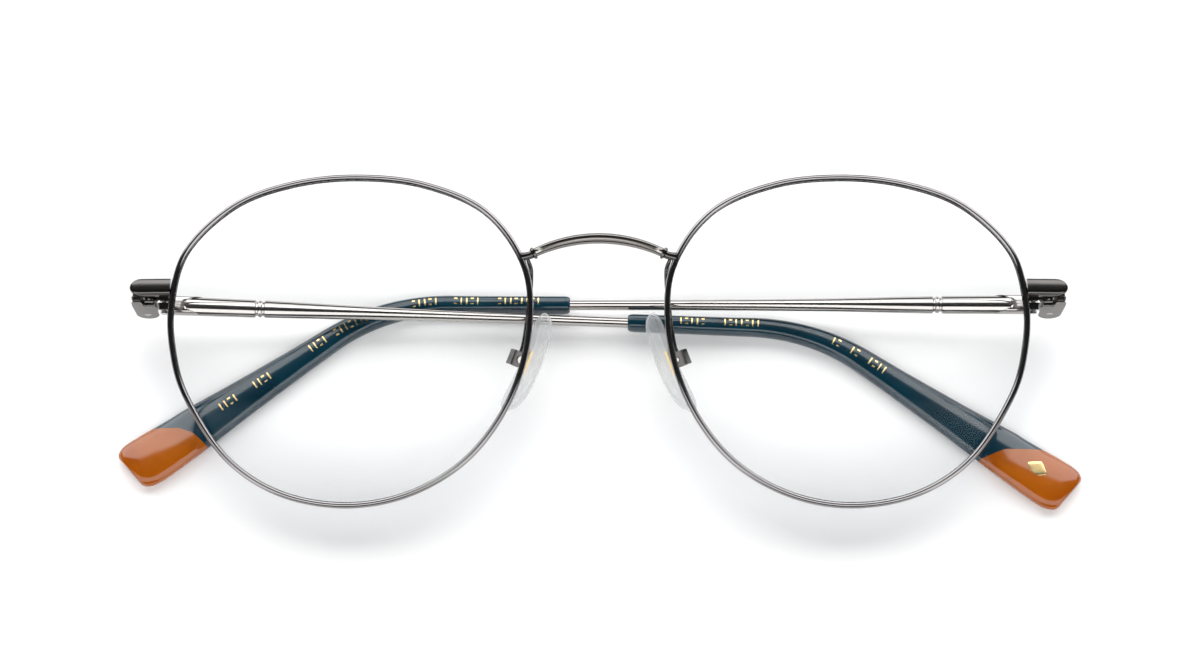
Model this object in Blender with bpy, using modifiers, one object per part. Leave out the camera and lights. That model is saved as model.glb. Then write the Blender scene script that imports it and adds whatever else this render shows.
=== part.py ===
"""Folding reading glasses with round metal rims, folded and lying on their temples.

Metres, +X to the right, +Y towards the top of the rims, +Z up from the table, with the
lenses facing up. The origin is on the table, under the middle of the glasses. The front
is modelled flat in its own frame (across, up, out), bent by a slight wrap, and tilted as
a whole. Each temple is modelled on its hinge axis, lying folded behind the front. Left
and right are as seen from above: side -1 is left and side +1 is right.
"""

import math

import bmesh
import bpy
from mathutils import Matrix, Vector

MM = 0.001
SIDES = {"left": -1, "right": 1}
SEAM = 0.3 * MM
TABLE_TO_FRONT = 13.3 * MM
FRONT_Y = 7.53 * MM
FRONT_TILT = math.radians(12.0)
WRAP_RADIUS = 1100.0 * MM

# Lens and rim. The outline starts at the closing gap, above the middle of the temple side,
# and runs over the top; across is positive towards the temple.
LENS_ACROSS = 35.2 * MM
LENS_UP = -7.97 * MM
LENS_OUTLINE_MM = (
    (25.4, 5.9), (23.35, 13.3), (16.75, 19.65), (8.6, 22.7),
    (-0.5, 23.65), (-10.2, 22.55), (-19.2, 18.5), (-24.7, 10.5),
    (-25.3, 1.0), (-22.65, -8.45), (-17.0, -16.5), (-9.1, -21.5),
    (0.0, -23.25), (9.45, -21.55), (17.2, -16.45), (23.0, -7.8),
    (25.1, -1.0),
)
OUTLINE_STEPS = 4
RIM_OUTER = 0.45 * MM
RIM_INNER = 0.38 * MM
RIM_DEPTH = 1.5 * MM
GROOVE_FLOOR = 0.1 * MM
RIM_GAP_STEPS = 0.08
LENS_DOME = 3.2 * MM
LENS_CENTRE_THICK = 2.6 * MM
LENS_EDGE_THICK = 0.5 * MM

# Endpiece and hinge.
HINGE_X = 64.8 * MM
HINGE_Y = FRONT_Y + 0.13 * MM
HINGE_Z = 5.9 * MM
HINGE_YAW = {"left": math.radians(-1.1), "right": math.radians(-1.2)}
HINGE_LEAN = {"left": math.radians(-0.5), "right": math.radians(0.5)}
BARREL_RADIUS = 1.35 * MM
BARREL_LENGTH = 3.1 * MM
TONGUE_THICK = 1.0 * MM
TONGUE_RADIUS = 1.2 * MM
HINGE_GAP = 0.08 * MM
HINGE_BORE = 0.58 * MM
HINGE_PIN = 0.5 * MM
PLATE_START = 61.0 * MM
PLATE_END = 66.15 * MM
PLATE_HALF = 1.2 * MM
PLATE_THICK = 1.3 * MM
LEG_THICK = 1.5 * MM

# The block that closes the rim, below the endpiece's plate.
LOCK_X = 61.75 * MM
LOCK_OUT = -0.3 * MM
LOCK_SIZE = (1.3 * MM, 1.0 * MM, 1.0 * MM)
LOCK_BORE = 0.42 * MM

# Temple: a tapering metal bar, then a plastic sleeve on a core wire, bent behind the ear.
SLEEVE_THICK = 2.5 * MM
TIP_THICK = 2.2 * MM
CORE_RADIUS = 0.45 * MM
CORE_END = 119.0 * MM
BEND_AT = 95.9 * MM
BEND_RADIUS = 29.0 * MM
BEND = {"left": math.radians(34.3), "right": math.radians(37.1)}
LEVEL_AT = 88.0 * MM
LEVEL_EASE = 8.0 * MM
JOINT_AT = 129.2 * MM
JOINT_SLANT = math.radians(40.0)
ORNAMENT_AT = 133.4 * MM
ORNAMENT_HALF_LENGTH = 1.7 * MM
ORNAMENT_HALF_HEIGHT = 1.3 * MM

# Nose pad, its rocking metal insert and the box that holds it, placed in the front's frame.
PAD_CENTRE = Vector((9.88, -10.47, -4.9)) * MM
PAD_LENGTH_AXIS = Vector((0.365, -0.926, -0.10)).normalized()
PAD_FACE_AXIS = Vector((-0.884, -0.271, -0.382)).normalized()
PAD_SIZE = Vector((7.4, 15.3, 2.0)) * MM
PAD_CURL = 1.0 * MM
PAD_PIVOT_DEPTH = -1.8 * MM
PAD_BORE = 0.37 * MM


def clear_scene():
    for item in list(bpy.data.objects):
        bpy.data.objects.remove(item, do_unlink=True)
    for item in list(bpy.data.collections):
        bpy.data.collections.remove(item)


def new_collection(name):
    made = bpy.data.collections.new(name)
    bpy.context.scene.collection.children.link(made)
    return made


clear_scene()
PARTS = new_collection("folding_reading_glasses")
CUTTERS = new_collection("cutters")


def material(name, colour, metallic, roughness, transmission=0.0):
    made = bpy.data.materials.new(name)
    made.use_nodes = True
    shader = made.node_tree.nodes["Principled BSDF"]
    shader.inputs["Base Color"].default_value = (*colour, 1.0)
    shader.inputs["Metallic"].default_value = metallic
    shader.inputs["Roughness"].default_value = roughness
    shader.inputs["Transmission Weight"].default_value = transmission
    return made


GUNMETAL = material("gunmetal", (0.23, 0.23, 0.25), 1.0, 0.25)
BRIGHT = material("bright_metal", (0.62, 0.60, 0.60), 1.0, 0.15)
SCREW_STEEL = material("screw_steel", (0.55, 0.54, 0.52), 1.0, 0.3)
CLEAR_LENS = material("clear_lens", (0.98, 0.99, 1.0), 0.0, 0.02, 1.0)
SILICONE = material("clear_silicone", (0.93, 0.92, 0.89), 0.0, 0.25, 0.8)
BLUE_ACETATE = material("blue_acetate", (0.02, 0.09, 0.14), 0.0, 0.12)
AMBER_ACETATE = material("amber_acetate", (0.78, 0.30, 0.05), 0.0, 0.12)
GOLD = material("gold", (0.85, 0.62, 0.28), 1.0, 0.25)


def empty(name, place):
    made = bpy.data.objects.new(name, None)
    made.matrix_world = place
    PARTS.objects.link(made)
    return made


def add(name, mesh, finish, parent=None, place=None, collection=None):
    """Link a mesh as a named piece under a parent, at a place in the parent's frame."""
    made = bpy.data.objects.new(name, mesh)
    (collection or PARTS).objects.link(made)
    if finish:
        mesh.materials.append(finish)
        mesh.shade_smooth()
        mesh.set_sharp_from_angle(angle=math.radians(40))
    made.parent = parent
    made.matrix_basis = place or Matrix()
    return made


def mesh_from(bm, name):
    bmesh.ops.recalc_face_normals(bm, faces=bm.faces)
    mesh = bpy.data.meshes.new(name)
    bm.to_mesh(mesh)
    bm.free()
    return mesh


def block_mesh(name, size, centre=(0, 0, 0)):
    bm = bmesh.new()
    place = Matrix.Translation(centre) @ Matrix.Diagonal((*size, 1.0))
    bmesh.ops.create_cube(bm, size=1.0, matrix=place)
    return mesh_from(bm, name)


def rod_mesh(name, radius, length, segments=16):
    """A cylinder along Y, centred on its origin."""
    bm = bmesh.new()
    place = Matrix.Rotation(math.pi / 2, 4, "X")
    bmesh.ops.create_cone(
        bm, cap_ends=True, segments=segments, radius1=radius, radius2=radius, depth=length, matrix=place
    )
    return mesh_from(bm, name)


def turned(name, profile, finish, parent, place, steps=16):
    """A turned piece: its profile (radius, height) runs from top to bottom about Z."""
    mesh = bpy.data.meshes.new(name)
    points = [(radius, 0.0, height) for radius, height in profile]
    edges = [(i, i + 1) for i in range(len(points) - 1)]
    mesh.from_pydata(points, edges, [])
    made = add(name, mesh, finish, parent, place)
    screw = made.modifiers.new("turn", "SCREW")
    screw.steps = steps
    screw.render_steps = steps
    screw.use_merge_vertices = True
    screw.merge_threshold = 0.00001
    return made


def combine(target, other, operation):
    """Join, cut or intersect a piece with a hidden helper solid."""
    other.hide_render = True
    other.display_type = "WIRE"
    step = target.modifiers.new(other.name, "BOOLEAN")
    step.operation = operation
    step.object = other
    step.solver = "EXACT"


def helper(name, mesh, parent, place=None):
    return add(name, mesh, None, parent, place, CUTTERS)


def section(width, thick, corner, steps=2):
    """Points round a rectangle with rounded corners, as (across, out) pairs."""
    corner = min(corner, width / 2 - 0.01 * MM, thick / 2 - 0.01 * MM)
    points = []
    for quarter in range(4):
        turn = quarter * math.pi / 2
        sx = 1 if quarter in (0, 3) else -1
        sz = 1 if quarter in (0, 1) else -1
        for step in range(steps + 1):
            angle = turn + step / steps * math.pi / 2
            across = sx * (width / 2 - corner) + corner * math.cos(angle)
            points.append((across, sz * (thick / 2 - corner) + corner * math.sin(angle)))
    return points


def skin(bm, lower, upper):
    """Close the band between two rings of the same number of points."""
    for i in range(len(lower)):
        j = (i + 1) % len(lower)
        bm.faces.new((lower[i], lower[j], upper[j], upper[i]))


def close_rings(bm, rings):
    """Skin a row of rings and cap both ends."""
    for lower, upper in zip(rings, rings[1:]):
        skin(bm, lower, upper)
    bm.faces.new(rings[0])
    bm.faces.new(rings[-1])


def loft(name, stations):
    """Skin over sections: each station is (centre, heading, width, thick, corner, lean)."""
    bm = bmesh.new()
    rings = []
    for centre, heading, width, thick, corner, lean in stations:
        along = Vector((math.cos(heading), math.sin(heading), 0.0))
        across = Vector((-along.y, along.x, 0.0))
        ring = []
        for a, out in section(width, thick, corner):
            spot = centre + across * a + along * (a * lean) + Vector((0, 0, out))
            ring.append(bm.verts.new(spot))
        rings.append(ring)
    close_rings(bm, rings)
    return mesh_from(bm, name)


def mirrored(mesh, side):
    """Turn a mesh made for the right-hand side into its left-hand twin when needed."""
    if side < 0:
        mesh.transform(Matrix.Diagonal((-1, 1, 1, 1)))
        mesh.flip_normals()
    return mesh


def wrapped(across, up, out):
    """A place in the front's frame after the slight wrap round the face."""
    return Vector((across, up, out - across * across / (2 * WRAP_RADIUS)))


def smooth_spot(a, b, c, d, t):
    """A point a share t of the way from b to c on the smooth curve through a, b, c and d."""
    return 0.5 * (2 * b + (c - a) * t + (2 * a - 5 * b + 4 * c - d) * t**2 + (3 * b - a - 3 * c + d) * t**3)


# ---------------------------------------------------------------- rims and lenses


def lens_outline(grow=0.0, start=0.0, end=1.0, closed=True):
    """Points on the right-hand lens outline moved outwards by grow, with their outward directions."""
    marks = [Vector((x, y)) * MM for x, y in LENS_OUTLINE_MM]
    count = len(marks)
    total = count * OUTLINE_STEPS
    points = []
    for k in range(total if closed else total + 1):
        t = start + (end - start) * k / total
        whole, part = divmod(t * count, 1.0)
        i = int(whole)
        a, b, c, d = (marks[(i + n) % count] for n in (-1, 0, 1, 2))
        spot = smooth_spot(a, b, c, d, part)
        slope = (c - a) + 2 * (2 * a - 5 * b + 4 * c - d) * part + 3 * (3 * b - a - 3 * c + d) * part**2
        slope.normalize()
        away = Vector((slope.y, -slope.x))
        points.append((spot + grow * away, away))
    return points


def rim_profile():
    """The rim's cross-section, out from the lens edge, with the groove that grips the lens."""
    half = RIM_DEPTH / 2
    ease = 0.2 * MM
    mouth = 0.5 * MM
    floor_half = 0.2 * MM
    front = [(-RIM_INNER, mouth), (-RIM_INNER, half - ease), (-RIM_INNER + ease, half)]
    front += [(RIM_OUTER - ease, half), (RIM_OUTER, half - ease)]
    back = [(x, -z) for x, z in reversed(front)]
    return front + back + [(GROOVE_FLOOR, -floor_half), (GROOVE_FLOOR, floor_half)]


def rim_mesh(name):
    """Sweep the grooved section round the lens outline, open at the closing gap."""
    gap = RIM_GAP_STEPS / len(LENS_OUTLINE_MM)
    bm = bmesh.new()
    rings = []
    profile = rim_profile()
    for spot, away in lens_outline(0.0, gap / 2, 1 - gap / 2, closed=False):
        ring = []
        for out, depth in profile:
            x, y = spot + away * out
            ring.append(bm.verts.new(wrapped(LENS_ACROSS + x, LENS_UP + y, depth)))
        rings.append(ring)
    close_rings(bm, rings)
    return mesh_from(bm, name)


def lens_heights(ratio, face):
    """Height of a lens face at a share of the way from the middle (0) to the shoulder (1)."""
    bulge = 1 - ratio * ratio
    thick = LENS_EDGE_THICK + (LENS_CENTRE_THICK - LENS_EDGE_THICK) * bulge
    return LENS_DOME * bulge + face * thick / 2


def lens_ring(bm, grow, ratio, height):
    ring = []
    for (x, y), _ in lens_outline(grow):
        spot = wrapped(LENS_ACROSS + x * ratio, LENS_UP + y * ratio, height)
        ring.append(bm.verts.new(spot))
    return ring


def lens_mesh(name):
    """A domed lens, thick in the middle, with a thin edge that stands in the rim's groove."""
    bm = bmesh.new()
    edges = []
    for face in (1, -1):
        last = lens_ring(bm, GROOVE_FLOOR - SEAM, 1.0, face * LENS_EDGE_THICK / 2)
        edges.append(last)
        for ratio in (1.0, 0.8, 0.45):
            current = lens_ring(bm, -RIM_INNER - SEAM, ratio, lens_heights(ratio, face))
            skin(bm, last, current)
            last = current
        hub = bm.verts.new(wrapped(LENS_ACROSS, LENS_UP, lens_heights(0.0, face)))
        for i in range(len(last)):
            bm.faces.new((last[i], last[(i + 1) % len(last)], hub))
    skin(bm, edges[0], edges[1])
    return mesh_from(bm, name)


def build_rim_and_lens(word, side, front):
    add(f"rim_{word}", mirrored(rim_mesh(f"rim_{word}"), side), GUNMETAL, front)
    add(f"lens_{word}", mirrored(lens_mesh(f"lens_{word}"), side), CLEAR_LENS, front)


# ---------------------------------------------------------------- bridge


def build_bridge(front):
    """An arched bar with a collar and a thin neck at each end, soldered to the rims."""
    half = 9.0 * MM
    crown = 6.7 * MM
    radius = 21.0 * MM
    arch = []
    for k in range(7):
        x = half * k / 6
        arch.append((x, crown - radius + math.sqrt(radius**2 - x**2)))
    foot = arch[-1][1]
    line = [(x, y, 1.5 - 0.25 * (x / half) ** 2, 1.5, 0.5) for x, y in arch]
    line += [(half + 0.3 * MM, foot - 0.17 * MM, 1.1, 1.3, 0.45)]
    line += [(half + 0.5 * MM, foot - 0.29 * MM, 0.85, 0.95, 0.4)]
    line += [(10.0 * MM, 4.12 * MM, 0.85, 0.95, 0.4)]
    line = [(-x, y, w, t, c) for x, y, w, t, c in reversed(line[1:])] + line
    stations = []
    for i, (x, y, width, thick, corner) in enumerate(line):
        before = line[max(i - 1, 0)]
        after = line[min(i + 1, len(line) - 1)]
        heading = math.atan2(after[1] - before[1], after[0] - before[0])
        spot = wrapped(x, y, 0.3 * MM)
        stations.append((spot, heading, width * MM, thick * MM, corner * MM, 0.0))
    add("bridge", loft("bridge", stations), GUNMETAL, front)


# ---------------------------------------------------------------- endpieces, locks and hinges


def capsule_mesh(name, start, end, half, thick):
    """A flat bar, square at its start and rounded at its end, seen from the front."""
    ease = 0.3 * MM
    outline = [(start, -half), (end - half, -half)]
    for step in range(1, 8):
        angle = -math.pi / 2 + step * math.pi / 8
        outline.append((end - half + half * math.cos(angle), half * math.sin(angle)))
    outline += [(end - half, half), (start, half)]
    middle = (start + end) / 2
    bm = bmesh.new()
    rings = []
    for height, shrink in ((0.0, 0.0), (thick - ease, 0.0), (thick, ease)):
        ring = []
        for x, y in outline:
            x = middle + (x - middle) * (1 - shrink / (end - start) * 2)
            ring.append(bm.verts.new((x, y * (1 - shrink / half), height)))
        rings.append(ring)
    close_rings(bm, rings)
    return mesh_from(bm, name)


def leg_mesh(name, height):
    """The endpiece's leg: flat inside, its outer edge easing inwards to the barrel."""
    low = -0.6 * MM
    outer = PLATE_END - HINGE_X - 0.05 * MM
    inner = outer - LEG_THICK
    tuck = 0.35 * MM
    outline = [(inner - tuck, low), (outer - tuck, low), (outer - tuck * 0.4, height * 0.3)]
    outline += [(outer, height * 0.7), (outer, height), (inner, height), (inner, height * 0.5)]
    bm = bmesh.new()
    half = PLATE_HALF - 0.07 * MM
    rings = [[bm.verts.new((x, y, z)) for x, z in outline] for y in (-half, half)]
    close_rings(bm, rings)
    return mesh_from(bm, name)


def build_endpiece(word, side, front, hinge):
    """The plate beside the rim, its leg down to the hinge, and the hinge's two outer ears."""
    plate_top = 0.85 * MM
    wrap_drop = wrapped(HINGE_X, 0, 0).z
    plate = capsule_mesh(f"endpiece_{word}", PLATE_START, PLATE_END, PLATE_HALF, PLATE_THICK)
    lift = Matrix.Translation((0, 0, plate_top - PLATE_THICK + wrap_drop))
    piece = add(f"endpiece_{word}", mirrored(plate, side), GUNMETAL, front, lift)

    leg = leg_mesh(f"leg_{word}", TABLE_TO_FRONT + wrap_drop + 0.33 * MM - HINGE_Z)
    combine(piece, helper(f"leg_{word}", mirrored(leg, side), hinge), "UNION")
    barrel = rod_mesh(f"barrel_{word}", BARREL_RADIUS, BARREL_LENGTH, 20)
    combine(piece, helper(f"barrel_{word}", barrel, hinge), "UNION")
    cheek_low = -0.15 * MM
    cheek_high = TONGUE_RADIUS + 2 * HINGE_GAP + 1.3 * MM
    size = (2 * BARREL_RADIUS - 0.1 * MM, BARREL_LENGTH - 0.2 * MM, cheek_high - cheek_low)
    cheek = block_mesh(f"cheek_{word}", size, (0, 0, (cheek_high + cheek_low) / 2))
    combine(piece, helper(f"cheek_{word}", cheek, hinge), "UNION")
    lock = block_mesh(f"lock_top_{word}", LOCK_SIZE, (side * LOCK_X, -1.3 * MM, wrap_drop + LOCK_OUT))
    combine(piece, helper(f"lock_top_{word}", lock, front), "UNION")

    slot_top = TONGUE_RADIUS + 2 * HINGE_GAP
    slot_low = -2.5 * MM
    size = (6 * MM, TONGUE_THICK + 2 * HINGE_GAP, slot_top - slot_low)
    slot = block_mesh(f"slot_{word}", size, (0, 0, (slot_top + slot_low) / 2))
    combine(piece, helper(f"slot_{word}", slot, hinge), "DIFFERENCE")
    bore = rod_mesh(f"bore_{word}", HINGE_BORE, BARREL_LENGTH + 2 * MM)
    combine(piece, helper(f"bore_{word}", bore, hinge), "DIFFERENCE")
    screw_hole = rod_mesh(f"lock_bore_{word}", LOCK_BORE, 1.4 * MM, 12)
    place = Matrix.Translation((side * LOCK_X, -1.9 * MM, wrap_drop + LOCK_OUT))
    combine(piece, helper(f"lock_bore_{word}", screw_hole, front, place), "DIFFERENCE")


def build_rim_lock(word, side, front):
    """The lower half of the closing block and the small screw that shuts the rim."""
    centre = Vector((side * LOCK_X, -2.65 * MM, wrapped(HINGE_X, 0, 0).z + LOCK_OUT))
    block = block_mesh(f"rim_lock_{word}", LOCK_SIZE, centre)
    piece = add(f"rim_lock_{word}", block, GUNMETAL, front)
    place = Matrix.Translation(centre)
    bore = rod_mesh(f"rim_lock_bore_{word}", LOCK_BORE, 2 * MM, 12)
    combine(piece, helper(f"rim_lock_bore_{word}", bore, front, place), "DIFFERENCE")
    profile = [(0, 1.35), (0.34, 1.35), (0.34, -0.7), (0.5, -0.7), (0.5, -1.05), (0, -1.05)]
    profile = [(r * MM, z * MM) for r, z in profile]
    place = place @ Matrix.Rotation(-math.pi / 2, 4, "X")
    turned(f"lock_screw_{word}", profile, SCREW_STEEL, front, place, 12)


def build_hinge_screw(word, hinge):
    """The screw that the temple turns on, with its head on the barrel's upper end."""
    reach = BARREL_LENGTH / 2
    head = reach + 0.1 * MM
    profile = [(0, reach), (HINGE_PIN, reach), (HINGE_PIN, -head), (0.95 * MM, -head)]
    profile += [(0.95 * MM, -head - 0.25 * MM), (0.7 * MM, -head - 0.4 * MM), (0, -head - 0.4 * MM)]
    turned(f"hinge_screw_{word}", profile, SCREW_STEEL, hinge, Matrix.Rotation(math.pi / 2, 4, "X"))


# ---------------------------------------------------------------- temples


def sleeve_thick(s):
    """The sleeve's thickness, which thins out behind the bend."""
    share = min(max((s - BEND_AT) / (40 * MM), 0.0), 1.0)
    return SLEEVE_THICK + (TIP_THICK - SLEEVE_THICK) * share


def temple_spot(s, bend):
    """Centre of the temple at distance s from the hinge, and its heading, right-hand side."""
    lead = BEND_RADIUS * math.tan(bend / 2)
    begin = BEND_AT - lead
    turn = min(max((s - begin) / BEND_RADIUS, 0.0), bend)
    x = min(s, begin) + BEND_RADIUS * math.sin(turn)
    y = -BEND_RADIUS * (1 - math.cos(turn))
    rest = max(s - begin - BEND_RADIUS * bend, 0.0)
    x += rest * math.cos(turn)
    y -= rest * math.sin(turn)
    fall = HINGE_Z - SLEEVE_THICK / 2
    grade = fall / LEVEL_AT
    ease = min(max(s - (LEVEL_AT - LEVEL_EASE), 0.0), 2 * LEVEL_EASE)
    z = -grade * (min(s, LEVEL_AT - LEVEL_EASE) + ease - ease * ease / (4 * LEVEL_EASE))
    z += (sleeve_thick(s) - SLEEVE_THICK) / 2
    return Vector((x, y, z)), -turn


def temple_mesh(name, sections, bend, side):
    """Skin over sections (s, height, thick, corner, lean) in mm; the right temple points to -X."""
    stations = []
    for s, height, thick, corner, lean in sections:
        spot, heading = temple_spot(s * MM, bend)
        stations.append((spot, heading, height * MM, thick * MM, corner * MM, lean))
    return mirrored(loft(name, stations), -side)


# Sections along the temple, in mm: distance, height, thickness, corner radius, end lean.
BAR_SECTIONS = (
    (1.9, 2.85, 1.5, 0.45, 0), (15.4, 2.65, 1.5, 0.6, 0), (15.6, 2.1, 1.2, 0.5, 0),
    (15.8, 2.1, 1.2, 0.5, 0), (15.9, 2.4, 1.4, 0.6, 0), (16.2, 2.4, 1.4, 0.6, 0),
    (16.3, 2.1, 1.2, 0.5, 0), (16.5, 2.1, 1.2, 0.5, 0), (16.7, 2.6, 1.5, 0.65, 0),
    (22, 2.35, 1.5, 0.7, 0), (31, 1.9, 1.4, 0.7, 0), (42, 1.6, 1.4, 0.7, 0),
    (53, 1.45, 1.4, 0.7, 0), (68.6, 1.4, 1.4, 0.7, 0),
)
CORE_STATIONS = (68.9, 80, 84, 88, 92, 96, 100, 104, 108)
TIP_SECTIONS = (
    (69.0, 1.8, 1.9, 0.7, 0), (69.25, 2.2, 2.25, 0.8, 0), (69.9, 2.4, 2.5, 0.8, 0),
    (78, 2.5, 2.5, 0.8, 0), (84, 2.6, 2.5, 0.8, 0), (88, 2.7, 2.5, 0.8, 0),
    (92, 2.85, 2.5, 0.8, 0), (96, 3.05, 2.5, 0.8, 0), (100, 3.3, 2.47, 0.8, 0),
    (104, 3.6, 2.44, 0.8, 0), (110, 4.15, 2.39, 0.8, 0), (120, 5.45, 2.32, 0.75, 0),
    (129, 7.0, 2.25, 0.7, 0.02), (134.5, 7.6, 2.21, 0.7, 0.08), (137.2, 7.6, 2.2, 0.7, 0.13),
    (138.4, 6.9, 2.2, 0.6, 0.13), (139.1, 5.5, 2.0, 0.5, 0.13),
)
AMBER_SECTIONS = TIP_SECTIONS[10:]


def build_bar(word, side, bend, line, axis):
    """The metal bar with the hinge's tongue, and the core wire that runs on in the sleeve."""
    core = 2 * CORE_RADIUS / MM
    wire = [(s, core, core, core / 2, 0) for s in CORE_STATIONS + (CORE_END / MM,)]
    mesh = temple_mesh(f"temple_bar_{word}", list(BAR_SECTIONS) + wire, bend, side)
    piece = add(f"temple_bar_{word}", mesh, BRIGHT, line)
    tongue = rod_mesh(f"tongue_{word}", TONGUE_RADIUS, TONGUE_THICK, 20)
    combine(piece, helper(f"tongue_{word}", tongue, axis), "UNION")
    size = (2.6 * MM, TONGUE_THICK - 0.02 * MM, 1.3 * MM)
    web = block_mesh(f"web_{word}", size, (-side * 1.3 * MM, 0, -0.05 * MM))
    combine(piece, helper(f"web_{word}", web, axis), "UNION")
    bore = rod_mesh(f"tongue_bore_{word}", HINGE_BORE, 3 * MM)
    combine(piece, helper(f"tongue_bore_{word}", bore, axis), "DIFFERENCE")


def joint_cutter(name, bend, side, gap):
    """A large block whose face lies on the slanting joint between sleeve and amber end."""
    spot, heading = temple_spot(JOINT_AT, bend)
    reach = 30 * MM
    mesh = block_mesh(name, (reach, 2 * reach, reach), (reach / 2 + gap, 0, 0))
    turn = Matrix.Rotation(heading - JOINT_SLANT, 4, "Z")
    mesh.transform(Matrix.Translation(spot) @ turn)
    return mirrored(mesh, -side)


def build_tip(word, side, bend, axis):
    """The blue sleeve on its core wire, and the amber end laminated to it on a slant."""
    whole = temple_mesh(f"temple_sleeve_{word}", TIP_SECTIONS, bend, side)
    sleeve = add(f"temple_sleeve_{word}", whole, BLUE_ACETATE, axis)
    whole = temple_mesh(f"tip_end_{word}", AMBER_SECTIONS, bend, side)
    amber = add(f"tip_end_{word}", whole, AMBER_ACETATE, axis)
    bore = 2 * (CORE_RADIUS + SEAM) / MM
    before_sleeve = 60
    past_core = CORE_END / MM + 0.4
    stations = (before_sleeve, *CORE_STATIONS[1:], past_core)
    sections = [(s, bore, bore, bore / 2, 0) for s in stations]
    hollow = temple_mesh(f"core_bore_{word}", sections, bend, side)
    combine(sleeve, helper(f"core_bore_{word}", hollow, axis), "DIFFERENCE")
    cut = joint_cutter(f"sleeve_joint_{word}", bend, side, -SEAM / 2)
    combine(sleeve, helper(f"sleeve_joint_{word}", cut, axis), "DIFFERENCE")
    keep = joint_cutter(f"amber_joint_{word}", bend, side, SEAM / 2)
    combine(amber, helper(f"amber_joint_{word}", keep, axis), "INTERSECT")
    return amber


def lozenge_mesh(name, half_width, half_height, thick):
    bm = bmesh.new()
    place = Matrix.Diagonal((half_width, half_height, 1.0, 1.0))
    bmesh.ops.create_cone(
        bm, cap_ends=True, segments=4, radius1=1.0, radius2=1.0, depth=thick, matrix=place
    )
    return mesh_from(bm, name)


def build_ornament(axis, bend, amber):
    """A plain gold lozenge let into the inner face of the left temple's amber end."""
    spot, heading = temple_spot(ORNAMENT_AT, bend)
    face = spot + Vector((0, 0, TIP_THICK / 2))
    turn = Matrix.Rotation(heading, 4, "Z")
    place = Matrix.Translation(face - Vector((0, 0, 0.15 * MM))) @ turn
    mesh = lozenge_mesh("tip_ornament_left", ORNAMENT_HALF_LENGTH, ORNAMENT_HALF_HEIGHT, 0.28 * MM)
    add("tip_ornament_left", mesh, GOLD, axis, place)
    room = 1.4 * SEAM
    size = (ORNAMENT_HALF_LENGTH + room, ORNAMENT_HALF_HEIGHT + room, 1.1 * MM)
    recess = lozenge_mesh("ornament_recess", *size)
    combine(amber, helper("ornament_recess", recess, axis, Matrix.Translation(face) @ turn), "DIFFERENCE")


def build_temple(word, side):
    """One temple on its own flat line, and the hinge axis that it turns about."""
    hinge = Matrix.Translation((side * HINGE_X, HINGE_Y, HINGE_Z))
    axis = empty(f"temple_{word}_axis", hinge @ Matrix.Rotation(HINGE_LEAN[word], 4, "X"))
    line = empty(f"temple_{word}_line", hinge @ Matrix.Rotation(HINGE_YAW[word], 4, "Z"))
    build_bar(word, side, BEND[word], line, axis)
    amber = build_tip(word, side, BEND[word], line)
    if word == "left":
        build_ornament(line, BEND[word], amber)
    return axis


# ---------------------------------------------------------------- nose pads


def pad_place(side):
    """The pad's own frame in the front's frame: X across it, Y up it, Z out of its face."""
    flip = Vector((side, 1, 1))
    up = -PAD_LENGTH_AXIS * flip
    out = PAD_FACE_AXIS * flip
    across = up.cross(out).normalized()
    out = across.cross(up).normalized()
    turn = Matrix((across, up, out)).transposed().to_4x4()
    return Matrix.Translation(PAD_CENTRE * flip) @ turn


def pad_mesh(name):
    """A drop-shaped cushion, wide below and narrow above, flatter on its back."""
    bm = bmesh.new()
    bmesh.ops.create_uvsphere(bm, u_segments=20, v_segments=10, radius=0.5)
    bmesh.ops.rotate(bm, verts=bm.verts, matrix=Matrix.Rotation(math.pi / 2, 3, "X"))
    for v in bm.verts:
        share = v.co.y * 2
        v.co.x *= PAD_SIZE.x * (0.93 - 0.26 * share)
        v.co.y *= PAD_SIZE.y
        v.co.z = v.co.z * PAD_SIZE.z * (1.15 if v.co.z > 0 else 0.85) - PAD_CURL * share**2
    return mesh_from(bm, name)


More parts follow.
